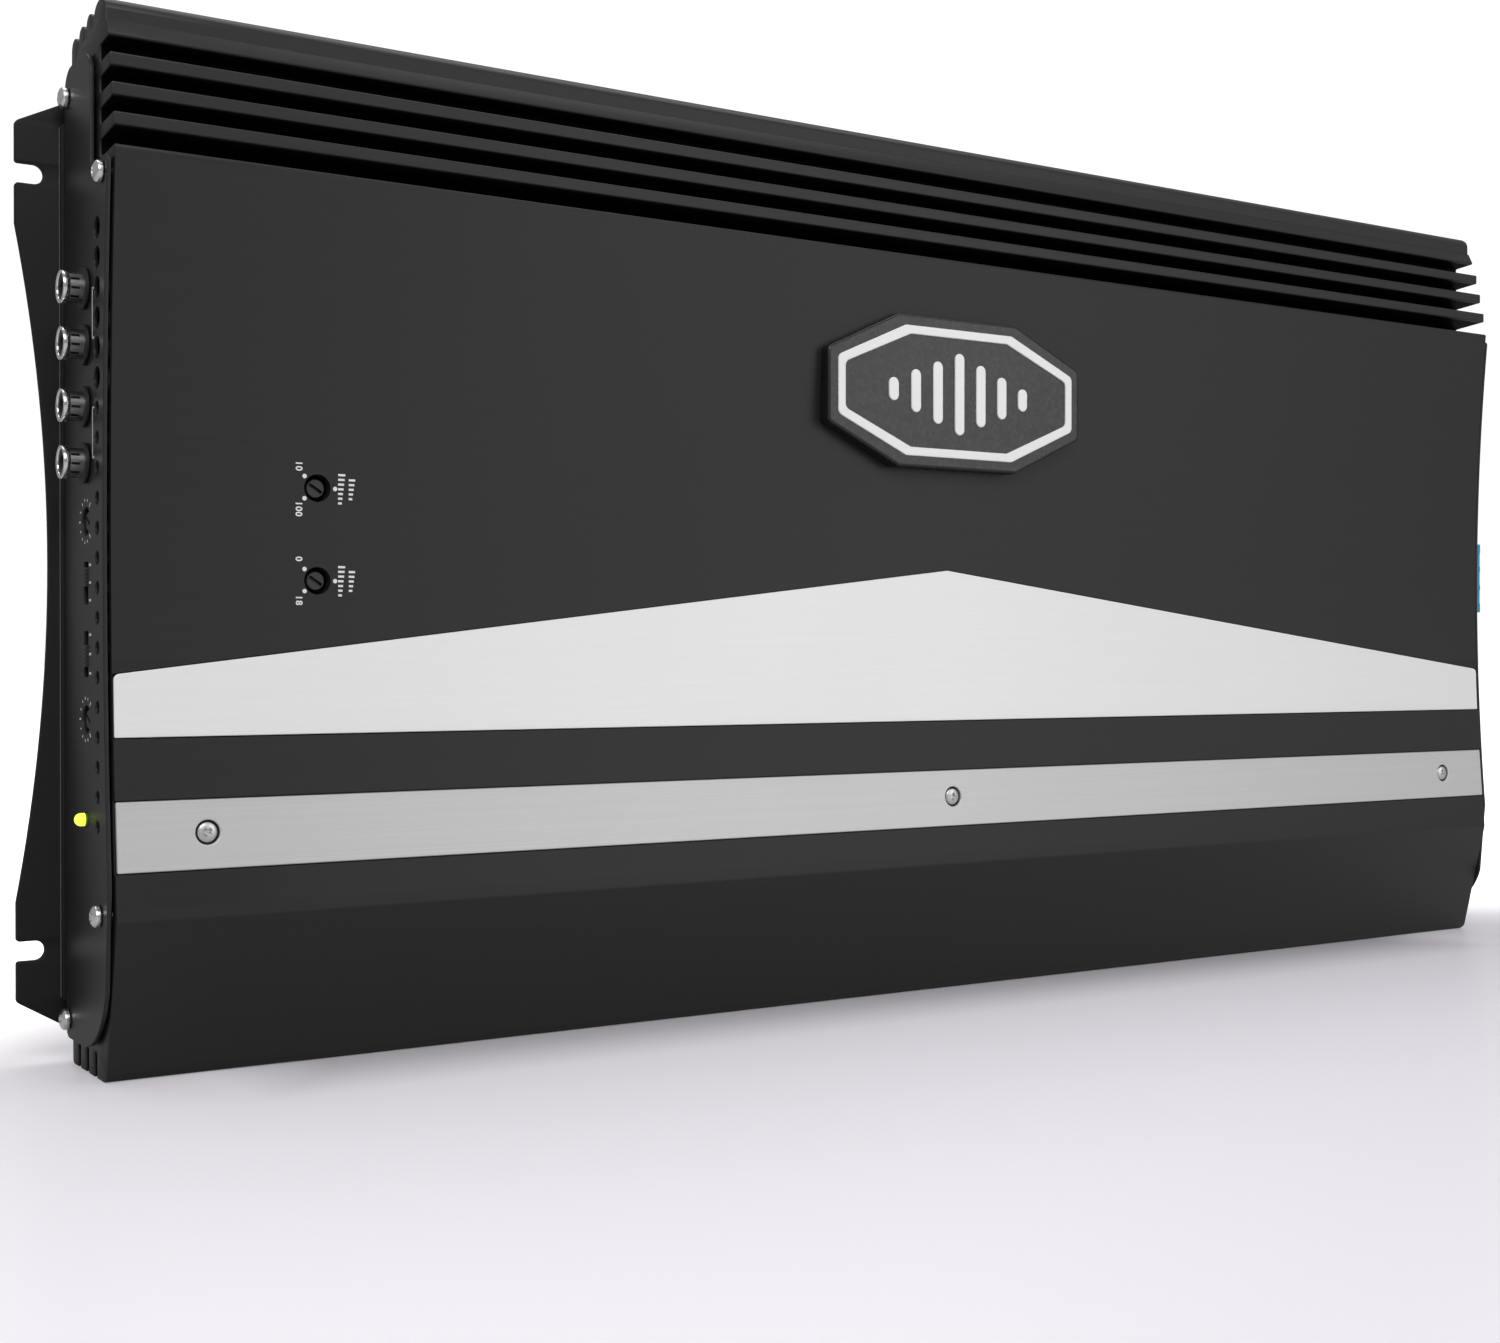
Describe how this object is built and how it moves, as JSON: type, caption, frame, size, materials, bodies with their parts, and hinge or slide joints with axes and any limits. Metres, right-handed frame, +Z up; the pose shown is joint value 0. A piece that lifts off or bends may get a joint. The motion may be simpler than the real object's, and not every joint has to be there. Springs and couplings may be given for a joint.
{
  "type": "car amplifier",
  "caption": "Long black finned car audio amplifier with silver inlays, a control end with phono jacks, dials and slide switches, a terminal end with blade fuses, and slotted mounting flanges.",
  "frame": {"origin": "middle of the bounding box's underside: the point on the standing surface under the middle of the amplifier on its long edge", "axes": "+X along the extrusion from the control end to the terminal end, -Y the hollow front face, +Y the mounting side, +Z up"},
  "size_m": [0.536, 0.0466, 0.2625],
  "materials": {
    "case_black": "black anodised extrusion, fine lengthwise grain, satin",
    "plate_black": "black powder coat, satin",
    "panel_black": "black paint, semi-gloss",
    "silver_inlay": "silver, satin",
    "silver_strip": "brushed lengthwise, satin",
    "badge_black": "moulded, glossy",
    "badge_white": "moulded, glossy",
    "bright_screw": "bright plated",
    "bright_jack": "bright nickel plated",
    "black_plastic": "moulded, matt",
    "dial_plastic": "moulded, satin",
    "slider_plastic": "moulded, ribbed",
    "block_plastic": "moulded, matt",
    "lamp_green": "clear tinted, lit",
    "fuse_blue": "clear tinted",
    "board_green": "solder mask",
    "copper_winding": "enamelled copper wire",
    "capacitor_sleeve": "shrink sleeve",
    "sheet_grey": "pressed fibre"
  },
  "bodies": {
    "amplifier": {"heatsink_case": "case_black", "base_plate": "plate_black", "control_panel": "panel_black", "terminal_panel": "panel_black", "chevron_panel": "silver_inlay", "trim_strip": "silver_strip", "badge_plate": "badge_black", "badge_inlay": "badge_white", "strip_screw_1": "bright_screw", "strip_screw_2": "bright_screw", "strip_screw_3": "bright_screw", "control_panel_screw_1": "bright_screw", "control_panel_screw_2": "bright_screw", "control_panel_screw_3": "bright_screw", "control_panel_screw_4": "bright_screw", "terminal_panel_screw_1": "bright_screw", "terminal_panel_screw_2": "bright_screw", "terminal_panel_screw_3": "bright_screw", "terminal_panel_screw_4": "bright_screw", "rca_sleeve_1": "bright_jack", "rca_sleeve_2": "bright_jack", "rca_sleeve_3": "bright_jack", "rca_sleeve_4": "bright_jack", "rca_housing_upper": "black_plastic", "rca_housing_lower": "black_plastic", "gain_pot_body": "black_plastic", "crossover_pot_body": "black_plastic", "subsonic_pot_body": "black_plastic", "bass_pot_body": "black_plastic", "filter_switch_body": "black_plastic", "mode_switch_body": "black_plastic", "power_led": "lamp_green", "fuse_holder": "black_plastic", "fuse_1": "fuse_blue", "fuse_2": "fuse_blue", "power_terminal_block": "block_plastic", "speaker_terminal_block": "block_plastic", "power_terminal_screw_1": "bright_screw", "power_terminal_screw_2": "bright_screw", "power_terminal_screw_3": "bright_screw", "speaker_terminal_screw_1": "bright_screw", "speaker_terminal_screw_2": "bright_screw", "speaker_terminal_screw_3": "bright_screw", "speaker_terminal_screw_4": "bright_screw", "main_board": "board_green", "input_board": "board_green", "dial_board": "board_green", "toroid_1": "copper_winding", "toroid_2": "copper_winding", "capacitor_1": "capacitor_sleeve", "capacitor_2": "capacitor_sleeve", "capacitor_3": "capacitor_sleeve", "transistor_row": "black_plastic", "insulating_sheet": "sheet_grey"},
    "gain_dial": {"gain_pot_shaft": "dial_plastic"},
    "crossover_dial": {"crossover_pot_shaft": "dial_plastic"},
    "subsonic_dial": {"subsonic_pot_shaft": "dial_plastic"},
    "bass_dial": {"bass_pot_shaft": "dial_plastic"},
    "filter_switch_slide": {"filter_switch_slider": "slider_plastic"},
    "mode_switch_slide": {"mode_switch_slider": "slider_plastic"}
  },
  "joints": [
    {"name": "gain_turn", "type": "hinge", "parent": "amplifier", "child": "gain_dial", "pos_m": [-0.2553, -0.0017, 0.1363], "axis": [-1, 0, 0], "range_deg": [-140, 140]},
    {"name": "crossover_turn", "type": "hinge", "parent": "amplifier", "child": "crossover_dial", "pos_m": [-0.2553, -0.0017, 0.0878], "axis": [-1, 0, 0], "range_deg": [-140, 140]},
    {"name": "subsonic_turn", "type": "hinge", "parent": "amplifier", "child": "subsonic_dial", "pos_m": [-0.2034, -0.0157, 0.1458], "axis": [0, -1, 0], "range_deg": [-107, 173]},
    {"name": "bass_turn", "type": "hinge", "parent": "amplifier", "child": "bass_dial", "pos_m": [-0.2034, -0.0157, 0.1224], "axis": [0, -1, 0], "range_deg": [-107, 173]},
    {"name": "filter_slide", "type": "slide", "parent": "amplifier", "child": "filter_switch_slide", "axis": [0, 0, 1], "range_m": [-0.0029, 0]},
    {"name": "mode_slide", "type": "slide", "parent": "amplifier", "child": "mode_switch_slide", "axis": [0, 0, 1], "range_m": [-0.0021, 0.0021]}
  ]
}
